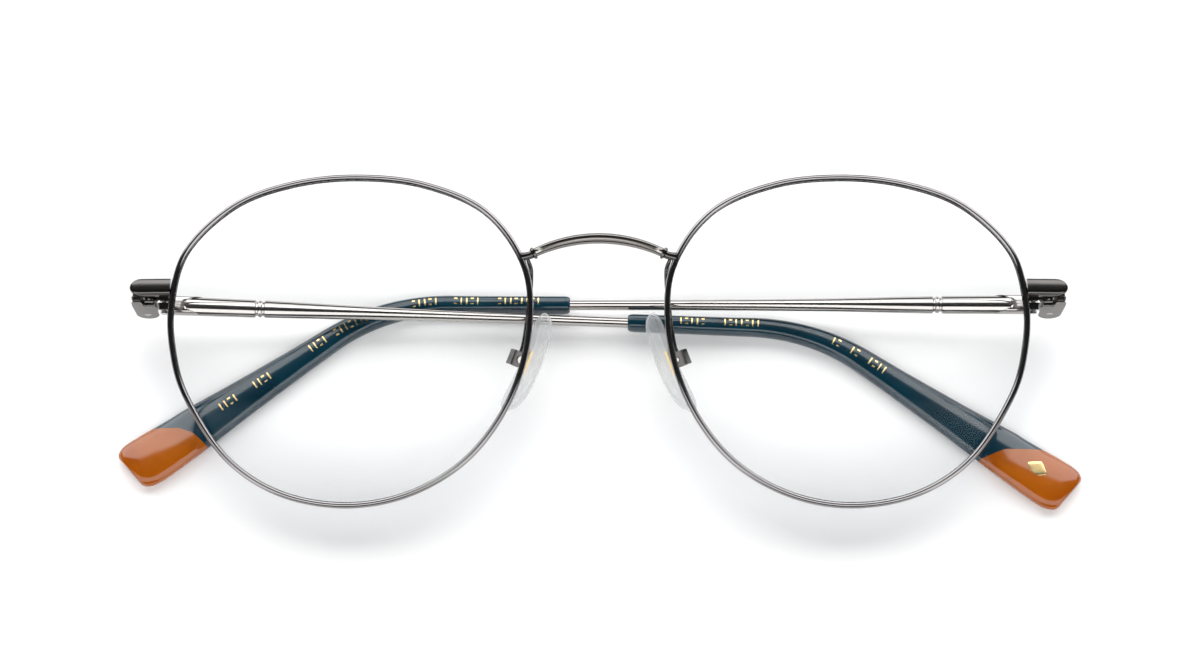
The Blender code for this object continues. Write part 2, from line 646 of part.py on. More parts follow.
def build_pad(word, side, front):
    """A silicone pad on its metal insert, rocking on a small screw in the box on the pad arm."""
    place = pad_place(side)
    pivot = empty(f"pad_{word}_axis", Matrix())
    pivot.parent = front
    pivot.matrix_basis = place @ Matrix.Translation((0, 0, PAD_PIVOT_DEPTH))
    lift = Matrix.Translation((0, 0, -PAD_PIVOT_DEPTH))

    pad = add(f"nose_pad_{word}", pad_mesh(f"nose_pad_{word}"), SILICONE, pivot, lift)
    recess = block_mesh(f"pad_recess_{word}", (3.0 * MM, 4.2 * MM, 2.0 * MM), (0, 0, -1.15 * MM))
    combine(pad, helper(f"pad_recess_{word}", recess, pivot, lift), "DIFFERENCE")

    plate = block_mesh(f"pad_insert_{word}", (2.3 * MM, 3.5 * MM, 0.4 * MM), (0, 0, -0.66 * MM))
    insert = add(f"pad_insert_{word}", plate, BRIGHT, pivot, lift)
    stem = block_mesh(f"pad_stem_{word}", (0.9 * MM, 1.6 * MM, 1.85 * MM), (0, 0, -1.475 * MM))
    combine(insert, helper(f"pad_stem_{word}", stem, pivot, lift), "UNION")
    sideways = Matrix.Rotation(math.pi / 2, 4, "Z")
    bore = rod_mesh(f"pad_stem_bore_{word}", PAD_BORE, 3 * MM, 12)
    combine(insert, helper(f"pad_stem_bore_{word}", bore, pivot, sideways), "DIFFERENCE")

    depth = 1.8 * MM
    box = block_mesh(f"pad_box_{word}", (2.1 * MM, 2.2 * MM, depth), (0, 0, -0.35 * MM))
    channel = add(f"pad_box_{word}", box, BRIGHT, pivot)
    slot = block_mesh(f"pad_slot_{word}", (1.1 * MM, 3 * MM, depth), (0, 0, 0.15 * MM))
    combine(channel, helper(f"pad_slot_{word}", slot, pivot), "DIFFERENCE")
    cross = rod_mesh(f"pad_box_bore_{word}", PAD_BORE, 3 * MM, 12)
    combine(channel, helper(f"pad_box_bore_{word}", cross, pivot, sideways), "DIFFERENCE")

    profile = [(0, 1.05), (0.3, 1.05), (0.3, -1.15), (0.55, -1.15), (0.55, -1.4), (0, -1.4)]
    profile = [(r * MM, z * MM) for r, z in profile]
    turn = Matrix.Rotation(math.pi / 2, 4, "Y")
    turned(f"pad_screw_{word}", profile, SCREW_STEEL, pivot, turn, 12)


def build_pad_arm(word, side, front):
    """The bent wire that carries the pad box, soldered to the rim's nose side."""
    route = (
        (9.6, 3.0, -0.5), (9.6, 2.2, -1.6), (9.75, 0.2, -2.9),
        (10.0, -2.6, -3.6), (10.35, -5.6, -3.9), (10.9, -8.5, -4.0),
    )
    curve = bpy.data.curves.new(f"pad_arm_{word}", "CURVE")
    curve.dimensions = "3D"
    curve.bevel_depth = 0.4 * MM
    curve.bevel_resolution = 2
    curve.use_fill_caps = True
    spline = curve.splines.new("POLY")
    marks = [Vector(mark) * MM for mark in route]
    points = []
    for i in range(len(marks) - 1):
        a, b, c, d = (marks[min(max(i + n, 0), len(marks) - 1)] for n in (-1, 0, 1, 2))
        for step in range(3):
            t = step / 3
            points.append(smooth_spot(a, b, c, d, t))
    points.append(marks[-1])
    spline.points.add(len(points) - 1)
    for point, spot in zip(spline.points, points):
        point.co = (*wrapped(side * spot.x, spot.y, spot.z), 1.0)
    arm = bpy.data.objects.new(f"pad_arm_{word}", curve)
    PARTS.objects.link(arm)
    curve.materials.append(BRIGHT)
    arm.parent = front


def build_glasses():
    tilt = Matrix.Rotation(FRONT_TILT, 4, "X")
    front = empty("front_frame", Matrix.Translation((0, FRONT_Y, TABLE_TO_FRONT)) @ tilt)
    build_bridge(front)
    for word, side in SIDES.items():
        build_rim_and_lens(word, side, front)
        axis = build_temple(word, side)
        build_endpiece(word, side, front, axis)
        build_rim_lock(word, side, front)
        build_hinge_screw(word, axis)
        build_pad_arm(word, side, front)
        build_pad(word, side, front)


build_glasses()
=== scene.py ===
import math

import bmesh
import bpy
from mathutils import Matrix, Vector


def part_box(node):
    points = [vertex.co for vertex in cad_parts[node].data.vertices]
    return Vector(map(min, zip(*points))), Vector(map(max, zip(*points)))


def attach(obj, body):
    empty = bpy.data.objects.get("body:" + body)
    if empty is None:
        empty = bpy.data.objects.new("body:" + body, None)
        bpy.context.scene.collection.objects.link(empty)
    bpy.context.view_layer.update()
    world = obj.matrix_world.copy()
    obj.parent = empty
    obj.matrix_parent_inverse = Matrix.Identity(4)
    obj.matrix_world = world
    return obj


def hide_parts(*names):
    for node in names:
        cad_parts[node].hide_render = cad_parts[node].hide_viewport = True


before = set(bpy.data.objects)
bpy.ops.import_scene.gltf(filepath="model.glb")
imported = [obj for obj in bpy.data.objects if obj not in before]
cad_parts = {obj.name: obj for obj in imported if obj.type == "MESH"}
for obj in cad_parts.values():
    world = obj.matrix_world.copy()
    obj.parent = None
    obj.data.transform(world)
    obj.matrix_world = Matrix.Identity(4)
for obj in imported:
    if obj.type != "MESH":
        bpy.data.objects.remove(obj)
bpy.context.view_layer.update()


# ---- Table and studio.
# A plain pale table top between two softboxes, a large one behind the glasses and a dimmer
# one in front. The middle overhead is kept dark, so that flat faces look deep and only
# sloping edges catch the light.

MM = 0.001
TABLE_HALF = 1.6
LOOK_AT = Vector((0.17, 1.66, 11.1)) * MM
CAMERA_AWAY = 400.0 * MM
CAMERA_FROM_UPRIGHT = math.radians(22.0)
CAMERA_LENS_MM = 84.84
REAR_LEVEL = 3.1
FRONT_LEVEL = 2.2


class Shade:
    """A socket in a node tree. Sums and products of shades add the Math nodes for them."""

    def __init__(self, tree, socket=None):
        self.tree = tree
        self.socket = socket

    def node(self, kind, settings=None, inputs=None, out=0):
        made = self.tree.nodes.new(kind)
        for key, value in (settings or {}).items():
            if key == "stops":
                ramp = made.color_ramp
                while len(ramp.elements) < len(value):
                    ramp.elements.new(0.5)
                for stop, (place, colour) in zip(ramp.elements, value):
                    stop.position = place
                    stop.color = (*colour, 1.0)
            else:
                setattr(made, key, value)
        for key, value in (inputs or {}).items():
            if isinstance(value, Shade):
                self.tree.links.new(value.socket, made.inputs[key])
            else:
                made.inputs[key].default_value = value
        return Shade(self.tree, made.outputs[out])

    def math(self, operation, other=0.0, third=0.0):
        return self.node("ShaderNodeMath", {"operation": operation}, {0: self, 1: other, 2: third})

    def flipped(self, operation, other):
        return self.node("ShaderNodeMath", {"operation": operation}, {0: other, 1: self})

    def __add__(self, other):
        return self.math("ADD", other)

    __radd__ = __add__

    def __mul__(self, other):
        return self.math("MULTIPLY", other)

    __rmul__ = __mul__

    def __sub__(self, other):
        return self.math("SUBTRACT", other)

    def __rsub__(self, other):
        return self.flipped("SUBTRACT", other)

    def rise(self, low, high):
        """0 below low, 1 above high and a smooth step between them."""
        settings = {"interpolation_type": "SMOOTHSTEP"}
        return self.node("ShaderNodeMapRange", settings, {"Value": self, "From Min": low, "From Max": high})

    def blend(self, first, second):
        """A colour between two colours, by this share."""
        inputs = {"Factor": self, "A": (*first, 1.0), "B": (*second, 1.0)}
        return self.node("ShaderNodeMix", {"data_type": "RGBA"}, {}, 2).fill(inputs)

    def fill(self, inputs):
        """Set the colour inputs of the Mix node this shade comes from."""
        made = self.socket.node
        for place, key in ((0, "Factor"), (6, "A"), (7, "B")):
            value = inputs[key]
            if isinstance(value, Shade):
                self.tree.links.new(value.socket, made.inputs[place])
            else:
                made.inputs[place].default_value = value
        return self


def studio_light():
    world = bpy.data.worlds.new("studio")
    world.use_nodes = True
    bpy.context.scene.world = world
    tree = world.node_tree
    way = Shade(tree).node("ShaderNodeTexCoord")
    split = way.node("ShaderNodeSeparateXYZ", None, {0: way})
    x = split
    y = Shade(tree, split.socket.node.outputs[1])
    across = x.math("ABSOLUTE")
    forward = y * -1.0
    narrow = 1.0 - across.rise(0.76, 0.86)
    rear_box = y.rise(0.36, 0.41) * (1.0 - y.rise(0.85, 0.91)) * narrow
    front_box = forward.rise(0.24, 0.30) * (1.0 - forward.rise(0.76, 0.84)) * narrow
    level = rear_box * REAR_LEVEL + front_box * FRONT_LEVEL + y.rise(0.0, 0.37) * 0.10 + 0.04
    background = tree.nodes["Background"]
    tree.links.new(level.socket, background.inputs["Strength"])
    background.inputs["Color"].default_value = (1.0, 1.0, 1.0, 1.0)


def new_material(name, **sockets):
    """A material with its Principled sockets set, and a shade to start its nodes from."""
    made = bpy.data.materials.new(name)
    made.use_nodes = True
    shader = made.node_tree.nodes["Principled BSDF"]
    for key, value in sockets.items():
        shader.inputs[key.replace("_", " ")].default_value = value
    return made, Shade(made.node_tree)


def feed(finish, socket, shade):
    shader = finish.node_tree.nodes["Principled BSDF"]
    finish.node_tree.links.new(shade.socket, shader.inputs[socket])


def table_top():
    mesh = bpy.data.meshes.new("table_top")
    half = TABLE_HALF
    low = -0.02 * MM
    corners = [(-half, -half, low), (half, -half, low), (half, half, low), (-half, half, low)]
    mesh.from_pydata(corners, [], [(0, 1, 2, 3)])
    top = bpy.data.objects.new("table_top", mesh)
    bpy.context.scene.collection.objects.link(top)
    finish, start = new_material("table_white", Roughness=0.6, Specular_IOR_Level=0.1)
    grain = start.node("ShaderNodeTexNoise", None, {"Scale": 30.0, "Detail": 3.0})
    feed(finish, "Base Color", grain.blend((0.925, 0.925, 0.93), (0.935, 0.935, 0.935)))
    mesh.materials.append(finish)


def camera():
    lens = bpy.data.cameras.new("camera")
    lens.lens = CAMERA_LENS_MM
    lens.sensor_width = 36.0
    lens.clip_start = 0.01
    made = bpy.data.objects.new("camera", lens)
    back = Vector((0.0, -math.sin(CAMERA_FROM_UPRIGHT), math.cos(CAMERA_FROM_UPRIGHT)))
    made.location = LOOK_AT + CAMERA_AWAY * back
    made.rotation_euler = (CAMERA_FROM_UPRIGHT, 0.0, 0.0)
    bpy.context.scene.collection.objects.link(made)
    bpy.context.scene.camera = made


camera()
studio_light()
table_top()
bpy.context.scene.view_settings.view_transform = "Standard"


# ---- Rims.
# Each rim is one length of hard metal wire, rolled with a groove that grips the lens, bent
# round and closed at the temple side. It is polished and plated in a dark gunmetal colour,
# so the plating is smooth with very fine rubbing marks.

FRONT_Y = 7.53 * MM
FRONT = Matrix.Translation((0, FRONT_Y, 13.3 * MM)) @ Matrix.Rotation(math.radians(12.0), 4, "X")
WRAP_RADIUS = 1100.0 * MM
LENS_CENTRE = Vector((35.2, -7.97)) * MM
LENS_OUTLINE_MM = (
    (25.4, 5.9), (23.35, 13.3), (16.75, 19.65), (8.6, 22.7),
    (-0.5, 23.65), (-10.2, 22.55), (-19.2, 18.5), (-24.7, 10.5),
    (-25.3, 1.0), (-22.65, -8.45), (-17.0, -16.5), (-9.1, -21.5),
    (0.0, -23.25), (9.45, -21.55), (17.2, -16.45), (23.0, -7.8),
    (25.1, -1.0),
)
RIM_OUT = 0.45 * MM
RIM_IN = 0.44 * MM
RIM_HALF_DEPTH = 0.75 * MM
SIDES = {"left": -1, "right": 1}


def metal(name, dark, light, rough_low, rough_high):
    """Polished plated metal: faint cloudiness in its colour, and fine rubbing marks in its gloss."""
    finish, start = new_material(name, Metallic=1.0)
    place = start.node("ShaderNodeTexCoord", None, None, 3)
    cloud = start.node("ShaderNodeTexNoise", None, {"Vector": place, "Scale": 220.0, "Detail": 4.0})
    feed(finish, "Base Color", cloud.blend(dark, light))
    stretch = start.node("ShaderNodeMapping", None, {"Vector": place, "Scale": (400.0, 3000.0, 3000.0)})
    marks = start.node("ShaderNodeTexNoise", None, {"Vector": stretch, "Scale": 1.0, "Detail": 3.0})
    feed(finish, "Roughness", marks * (rough_high - rough_low) + rough_low)
    bump = start.node("ShaderNodeBump", None, {"Height": marks, "Strength": 0.04, "Distance": 0.00002})
    feed(finish, "Normal", bump)
    return finish


GUNMETAL = metal("gunmetal_plating", (0.23, 0.22, 0.225), (0.30, 0.29, 0.29), 0.05, 0.11)


def front_spot(across, up, out):
    """A place given across, up and out from the front's middle, after its slight wrap."""
    return FRONT @ Vector((across, up, out - across * across / (2 * WRAP_RADIUS)))


def smooth_spot(a, b, c, d, t):
    """A point a share t of the way from b to c on the smooth curve through a, b, c and d."""
    return 0.5 * (2 * b + (c - a) * t + (2 * a - 5 * b + 4 * c - d) * t**2 + (3 * b - a - 3 * c + d) * t**3)


def lens_outline(steps):
    """Points round the lens of the right-hand side, each with its outward direction."""
    marks = [Vector(mark) * MM for mark in LENS_OUTLINE_MM]
    count = len(marks)
    points = []
    for i in range(count):
        for step in range(steps):
            points.append(smooth_spot(*(marks[(i + n) % count] for n in (-1, 0, 1, 2)), step / steps))
    outline = []
    for i, spot in enumerate(points):
        slope = (points[(i + 1) % len(points)] - points[i - 1]).normalized()
        outline.append((spot, Vector((slope.y, -slope.x))))
    return outline


def skin(rings, loop=False, caps=True):
    """Faces over a row of rings with the same number of points."""
    bm = bmesh.new()
    made = [[bm.verts.new(spot) for spot in ring] for ring in rings]
    count = len(made[0])
    pairs = list(zip(made, made[1:])) + ([(made[-1], made[0])] if loop else [])
    for lower, upper in pairs:
        for i in range(count):
            j = (i + 1) % count
            bm.faces.new((lower[i], lower[j], upper[j], upper[i]))
    if caps and not loop:
        bm.faces.new(made[0])
        bm.faces.new(made[-1])
    bmesh.ops.recalc_face_normals(bm, faces=bm.faces)
    return bm


def piece(name, bm, finish, body, stands_for=(), sharp=40):
    """Make a finished piece from a mesh in place, riding on its body."""
    mesh = bpy.data.meshes.new(name)
    bm.to_mesh(mesh)
    bm.free()
    mesh.materials.append(finish)
    mesh.shade_smooth()
    mesh.set_sharp_from_angle(angle=math.radians(sharp))
    made = bpy.data.objects.new(name, mesh)
    bpy.context.scene.collection.objects.link(made)
    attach(made, body)
    if stands_for:
        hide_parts(*stands_for)
    return made


def rim_section():
    """The wire's section, out from the lens edge: a softly domed front and back and a groove."""
    middle = (RIM_OUT - RIM_IN) / 2
    half = (RIM_OUT + RIM_IN) / 2
    flat = 0.30 * MM
    front = []
    for k in range(11):
        angle = math.pi * (1 - k / 10)
        front.append((middle + half * math.cos(angle), flat + (RIM_HALF_DEPTH - flat) * math.sin(angle)))
    back = [(x, -z) for x, z in reversed(front)]
    groove = [(0.02 * MM, -0.22 * MM), (0.02 * MM, 0.22 * MM)]
    return front + back + [(-RIM_IN, -0.3 * MM)] + groove + [(-RIM_IN, 0.3 * MM)]


for word, side in SIDES.items():
    rings = []
    for spot, away in lens_outline(14):
        ring = []
        for out, depth in rim_section():
            x, y = LENS_CENTRE + spot + away * out
            ring.append(front_spot(side * x, y, depth))
        rings.append(ring)
    rings.append([last.lerp(first, 0.9) for last, first in zip(rings[-1], rings[0])])
    piece(f"rim_wire_{word}", skin(rings), GUNMETAL, "front", [f"rim_{word}"], 50)


# ---- Lenses.
# Each lens is a clear cast plastic meniscus, ground to the rim's outline with a bevelled
# edge that sits in the rim's groove, and coated so that it reflects very little.

LENS_RISE = 3.2 * MM
LENS_THICK = 1.9 * MM
LENS_EDGE = 0.45 * MM
BEVEL_IN = 0.42 * MM
BEVEL_OUT = 0.3 * MM


def lens_finish():
    finish, start = new_material("coated_lens", Metallic=0.0)
    tree = finish.node_tree
    glance = start.node("ShaderNodeFresnel", None, {"IOR": 1.22})
    place = start.node("ShaderNodeTexCoord", None, None, 3)
    haze = start.node("ShaderNodeTexNoise", None, {"Vector": place, "Scale": 90.0, "Detail": 2.0})
    clear = start.node("ShaderNodeBsdfTransparent", None, {"Color": (0.996, 0.998, 0.997, 1.0)})
    coat = start.node("ShaderNodeBsdfGlossy", None, {"Color": (0.9, 0.95, 1.0, 1.0), "Roughness": 0.02})
    mixed = start.node("ShaderNodeMixShader", None, {0: glance * (haze * 0.2 + 0.8), 1: clear, 2: coat})
    tree.links.new(mixed.socket, tree.nodes["Material Output"].inputs["Surface"])
    return finish


CLEAR_LENS = lens_finish()

for word, side in SIDES.items():
    outline = lens_outline(8)
    rings = []
    layers = [(0.0, share, 1) for share in (0.02, 0.2, 0.4, 0.6, 0.8, 0.92, 1.0)]
    layers += [(BEVEL_OUT, 1.0, 0)]
    layers += [(0.0, share, -1) for share in (1.0, 0.92, 0.8, 0.6, 0.4, 0.2, 0.02)]
    for grow, share, face in layers:
        rise = LENS_RISE * (1 - share * share)
        thick = LENS_EDGE + (LENS_THICK - LENS_EDGE) * (1 - share**4)
        ring = []
        for spot, away in outline:
            x, y = LENS_CENTRE + (spot - away * BEVEL_IN) * share + away * grow
            ring.append(front_spot(side * x, y, rise + face * thick / 2))
        rings.append(ring)
    piece(f"lens_blank_{word}", skin(rings), CLEAR_LENS, "front", [f"lens_{word}"], 50)


# ---- Bridge.
# One arched bar with a groove milled along its front, a turned collar at each end, and short
# necks that are soldered to the rims. It has the same dark plating; the collars and necks are
# given a darker copy of that plating, which is painted shade.

# A darker copy of the rims' gunmetal plating for parts of the same metal: painted shade.
PAINTED_SHADE_PLATE = metal("plating_painted_shade", (0.085, 0.080, 0.080), (0.12, 0.115, 0.11), 0.12, 0.22)
LIGHT_PLATE = metal("light_plating", (0.22, 0.205, 0.195), (0.28, 0.265, 0.25), 0.10, 0.18)
BRIDGE_HALF = 9.0 * MM
BRIDGE_CROWN = 6.7 * MM
BRIDGE_RADIUS = 21.0 * MM


def bar_section(width, thick, groove=0.0):
    """A softly rounded bar section, as (across, out), with a groove down its front."""
    points = []
    for k in range(32):
        angle = 2 * math.pi * k / 32
        x = math.copysign(abs(math.cos(angle)) ** 0.75, math.cos(angle)) * width / 2
        z = math.copysign(abs(math.sin(angle)) ** 0.75, math.sin(angle)) * thick / 2
        if z > 0:
            z -= groove * math.exp(-((x / (0.16 * width)) ** 4))
        points.append((x, z))
    return points


def arch_height(x):
    return BRIDGE_CROWN - BRIDGE_RADIUS + math.sqrt(BRIDGE_RADIUS**2 - x * x)


arch = []
for k in range(-24, 25):
    x = BRIDGE_HALF * k / 24
    deep = min(1.0, (BRIDGE_HALF - abs(x)) / (0.5 * MM))
    arch.append((x, arch_height(x), 1.5 - 0.25 * (x / BRIDGE_HALF) ** 2, 1.5, 0.26 * deep))
foot = arch_height(BRIDGE_HALF)


def bridge_rings(stops):
    """Rings across the bridge at stops of (across, up, width, thickness, groove)."""
    rings = []
    for i, (x, y, width, thick, groove) in enumerate(stops):
        before = stops[max(i - 1, 0)]
        after = stops[min(i + 1, len(stops) - 1)]
        along = Vector((after[0] - before[0], after[1] - before[1])).normalized()
        across = Vector((-along.y, along.x))
        ring = []
        for a, out in bar_section(width * MM, thick * MM, groove * MM):
            ring.append(front_spot(x + across.x * a, y + across.y * a, 0.3 * MM + out))
        rings.append(ring)
    return rings


piece("bridge_bar", skin(bridge_rings(arch)), LIGHT_PLATE, "front", ["bridge"], 35)
COLLAR_STEPS = (
    (-0.1, -0.06, 0.95, 1.0), (0.0, 0.0, 1.3, 1.4), (0.06, 0.03, 1.72, 1.7), (0.38, 0.21, 1.72, 1.7),
    (0.45, 0.25, 1.35, 1.4), (0.5, 0.29, 1.15, 1.2), (0.75, 0.42, 1.12, 1.15), (1.35, 0.56, 1.15, 1.15),
    (1.95, 0.66, 1.3, 1.1),
)
for word, side in SIDES.items():
    stops = []
    for out, down, wide, thick in COLLAR_STEPS:
        stops.append((side * (BRIDGE_HALF + out * MM), foot - down * MM, wide, thick, 0.0))
    # The collars carry the darker copy of the plating: painted shade.
    piece(f"bridge_collar_{word}", skin(bridge_rings(stops)), PAINTED_SHADE_PLATE, "front", [], 35)


# ---- Endpieces, rim locks and hinge ears.
# Each endpiece is a plated block brazed beside the rim. It turns down into a leg that ends in
# the hinge's two ears. Below it a small split block with a screw closes the rim on the lens.

HINGE_X = 64.8 * MM
HINGE_Y = FRONT_Y + 0.13 * MM
HINGE_Z = 5.9 * MM
BARREL_RADIUS = 1.35 * MM
EAR_INNER = 0.58 * MM
EAR_OUTER = 1.55 * MM
LEG_HALF = 1.13
CAP_START = 60.85
CAP_ROUND = 64.9
CAP_END = 66.7
CAP_HALF = 1.27


def rounded_copy(node, name, finish, body, bevel):
    """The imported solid's shape with its edges rounded over, as polishing leaves them."""
    bm = bmesh.new()
    bm.from_mesh(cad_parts[node].data)
    bmesh.ops.remove_doubles(bm, verts=bm.verts, dist=0.000002)
    bmesh.ops.dissolve_limit(bm, angle_limit=math.radians(2), verts=bm.verts, edges=bm.edges)
    made = piece(name, bm, finish, body, [node], 40)
    ease = made.modifiers.new("polish", "BEVEL")
    ease.width = bevel
    ease.segments = 3
    ease.limit_method = "ANGLE"
    ease.angle_limit = math.radians(38)
    ease.harden_normals = True
    return made


def slab_rings(outline, low, high, ease, place):
    """Rings of a flat block with rolled edges: an outline drawn face on, from low to high."""
    count = len(outline)
    inward = []
    for i in range(count):
        slope = (Vector(outline[(i + 1) % count]) - Vector(outline[i - 1])).normalized()
        inward.append(Vector((-slope.y, slope.x)))
    rings = []
    for k in range(10):
        angle = math.pi / 2 * (k / 4 if k < 5 else (9 - k) / 4)
        shrink = ease * (1 - math.sin(angle))
        depth = ease * (1 - math.cos(angle))
        level = low + depth if k < 5 else high - depth
        rings.append([place(*(Vector(mark) + into * shrink), level) for mark, into in zip(outline, inward)])
    return rings


def add_rings(bm, rings):
    """Add a closed loft of rings to a mesh that already holds other bodies."""
    made = [[bm.verts.new(spot) for spot in ring] for ring in rings]
    for lower, upper in zip(made, made[1:]):
        for i in range(len(lower)):
            j = (i + 1) % len(lower)
            bm.faces.new((lower[i], lower[j], upper[j], upper[i]))
    bm.faces.new(made[0])
    bm.faces.new(made[-1])


def arc(centre, radius, start, end, steps):
    """Points of an arc, by angles in degrees."""
    points = []
    for k in range(steps + 1):
        angle = math.radians(start + (end - start) * k / steps)
        points.append((centre[0] + radius * math.cos(angle), centre[1] + radius * math.sin(angle)))
    return points


def cap_rings(side):
    """The endpiece's plate: flat towards the wearer's cheek, easing over to its upper edge."""
    rings = []
    for k in range(21):
        x = CAP_START + (CAP_END - CAP_START) * math.sin(math.pi / 2 * k / 20.4)
        far = max((x - CAP_ROUND) / (CAP_END - CAP_ROUND), 0.0)
        half = CAP_HALF * (1 - far**2.2) ** 0.5
        fall = 0.6 * (1 - (1 - far**2) ** 0.5)
        ring = []
        for j in range(33):
            y = math.cos(math.pi * j / 32)
            top = 0.85 - 0.36 * ((y * half + 1.0) / 2.2) ** 2 - fall
            roll = (1 - abs(y) ** 7) ** 0.5
            ring.append((y * half, 0.1 - fall * 0.6 + (top - 0.1 + fall * 0.6) * roll))
        ring += [(-half, -0.35), (-half * 0.9, -0.45), (half * 0.9, -0.45), (half, -0.35)]
        rings.append([front_spot(side * x * MM, y * MM, out * MM) for y, out in ring])
    return rings


def ear_outline():
    """The hinge ear and the leg above it, seen from below: (across, height) from the hinge pin."""
    leg_foot = [(1.53, 4.3), (1.52, 3.5), (1.48, 2.6), (1.43, 1.7), (1.38, 0.9)]
    bottom = arc((0, 0), BARREL_RADIUS / MM, 8, -188, 24)
    inner = [(-1.34, 1.2), (-1.3, 2.2)] + arc((-0.95, 2.25), 0.38, 165, 95, 3)
    notch = [(0.1, 2.66)] + arc((0.1, 3.06), 0.4, -80, -10, 5) + [(0.55, 3.9), (0.52, 4.3)]
    return leg_foot + bottom + inner + notch


def leg_outline():
    return [(1.48, 5.2), (1.51, 4.4), (1.46, 2.7), (0.1, 2.7), (0.45, 3.06), (0.55, 4.2), (0.5, 5.2)]


SCREW_STEEL = metal("turned_steel", (0.45, 0.44, 0.43), (0.60, 0.58, 0.56), 0.18, 0.32)
# A copy of the gunmetal plating darkened as painted shade, a little less dark than the cap's copy, for the
# leg and hinge ears.
LEG_PLATE_PAINTED_SHADE = metal("leg_plating_painted_shade", (0.17, 0.16, 0.152), (0.22, 0.21, 0.20), 0.14, 0.24)

for word, side in SIDES.items():
    bm = bmesh.new()
    add_rings(bm, cap_rings(side))
    web = [(61.1, -0.9), (62.4, -0.9), (62.4, -1.8), (61.1, -1.8)]
    add_rings(bm, slab_rings(web, -0.8, 0.2, 0.12, lambda x, y, z: front_spot(side * x * MM, y * MM, z * MM)))
    bmesh.ops.recalc_face_normals(bm, faces=bm.faces)
    # The cap and its web carry the darker plating copy, painted shade; with the leg below it is one plated
    # block.
    piece(f"endpiece_cap_{word}", bm, PAINTED_SHADE_PLATE, "front", [], 50)

    def hinge_spot(x, z, y):
        return Vector((side * (HINGE_X + x * MM), HINGE_Y + y * MM, HINGE_Z + z * MM))

    bm = bmesh.new()
    inner = EAR_INNER / MM
    outer = EAR_OUTER / MM
    for low, high in ((-outer, -inner), (inner, outer)):
        add_rings(bm, slab_rings(ear_outline(), low, high, 0.3, hinge_spot))
    add_rings(bm, slab_rings(leg_outline(), -LEG_HALF, LEG_HALF, 0.2, hinge_spot))
    bmesh.ops.recalc_face_normals(bm, faces=bm.faces)
    piece(f"hinge_ears_{word}", bm, LEG_PLATE_PAINTED_SHADE, "front", [f"endpiece_{word}"], 40)
    # The rim lock block also carries the darker plating copy: painted shade.
    rounded_copy(f"rim_lock_{word}", f"rim_lock_block_{word}", PAINTED_SHADE_PLATE, "front", 0.08 * MM)
    for node in (f"lock_screw_{word}", f"hinge_screw_{word}"):
        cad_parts[node].data.materials.clear()
        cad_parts[node].data.materials.append(SCREW_STEEL)


# ---- Temple bars.
# Each bar is drawn and stamped bright metal with a tongue at the hinge, a long raised rib on
# its inner face that starts in a spear point, a turned bead, and a taper down to the sleeve.

YAW = {"left": math.radians(-1.1), "right": math.radians(-1.2)}
BEND_AT = 95.9 * MM
BEND_RADIUS = 29.0 * MM
BEND = {"left": math.radians(34.3), "right": math.radians(37.1)}
LEVEL_AT = 88.0 * MM
LEVEL_EASE = 8.0 * MM
SLEEVE_THICK = 2.5 * MM
TIP_THICK = 2.2 * MM
BRIGHT = metal("bright_plating", (0.44, 0.42, 0.405), (0.50, 0.475, 0.46), 0.06, 0.12)


def sleeve_thick(s):
    share = min(max((s - BEND_AT) / (40 * MM), 0.0), 1.0)
    return SLEEVE_THICK + (TIP_THICK - SLEEVE_THICK) * share


def temple_spot(s, bend):
    """Centre of the temple at distance s from the hinge, and its heading, before mirroring."""
    begin = BEND_AT - BEND_RADIUS * math.tan(bend / 2)
    turn = min(max((s - begin) / BEND_RADIUS, 0.0), bend)
    rest = max(s - begin - BEND_RADIUS * bend, 0.0)
    x = min(s, begin) + BEND_RADIUS * math.sin(turn) + rest * math.cos(turn)
    y = -BEND_RADIUS * (1 - math.cos(turn)) - rest * math.sin(turn)
    fall = HINGE_Z - SLEEVE_THICK / 2
    ease = min(max(s - (LEVEL_AT - LEVEL_EASE), 0.0), 2 * LEVEL_EASE)
    run = min(s, LEVEL_AT - LEVEL_EASE) + ease - ease * ease / (4 * LEVEL_EASE)
    z = -fall / LEVEL_AT * run + (sleeve_thick(s) - SLEEVE_THICK) / 2
    return Vector((x, y, z)), -turn


def temple_point(word, s, across, out, lean=0.0):
    """World place of a point on a temple, given along, across and out of its inner face."""
    side = SIDES[word]
    spot, heading = temple_spot(s, BEND[word])
    along = Vector((math.cos(heading), math.sin(heading), 0.0))
    up = Vector((-along.y, along.x, 0.0))
    local = spot + up * across + along * (across * lean) + Vector((0, 0, out))
    local.x *= -side
    turn = Matrix.Rotation(YAW[word], 4, "Z")
    return Matrix.Translation((side * HINGE_X, HINGE_Y, HINGE_Z)) @ turn @ local


def between(table, s):
    """A value from a table of (distance, value), eased between its rows."""
    if s <= table[0][0]:
        return table[0][1]
    for (low, first), (high, second) in zip(table, table[1:]):
        if s <= high:
            return first + (second - first) * (s - low) / (high - low)
    return table[-1][1]


BAR_HEIGHT = (
    (2.0, 2.85), (15.3, 2.68), (15.42, 2.2), (15.66, 2.1), (15.74, 2.4), (15.9, 2.52), (16.08, 2.52),
    (16.24, 2.4), (16.32, 2.1), (16.56, 2.2), (16.68, 2.62), (22, 2.38), (31, 1.92), (42, 1.62),
    (53, 1.47), (69.2, 1.4),
)
BAR_THICK = (
    (2.0, 1.5), (15.3, 1.5), (15.42, 1.15), (15.66, 1.1), (15.74, 1.35), (15.9, 1.5), (16.08, 1.5),
    (16.24, 1.35), (16.32, 1.1), (16.56, 1.15), (16.68, 1.5), (31, 1.42), (69.2, 1.4),
)
RIB_START = 5.2
RIB_FULL = 8.4


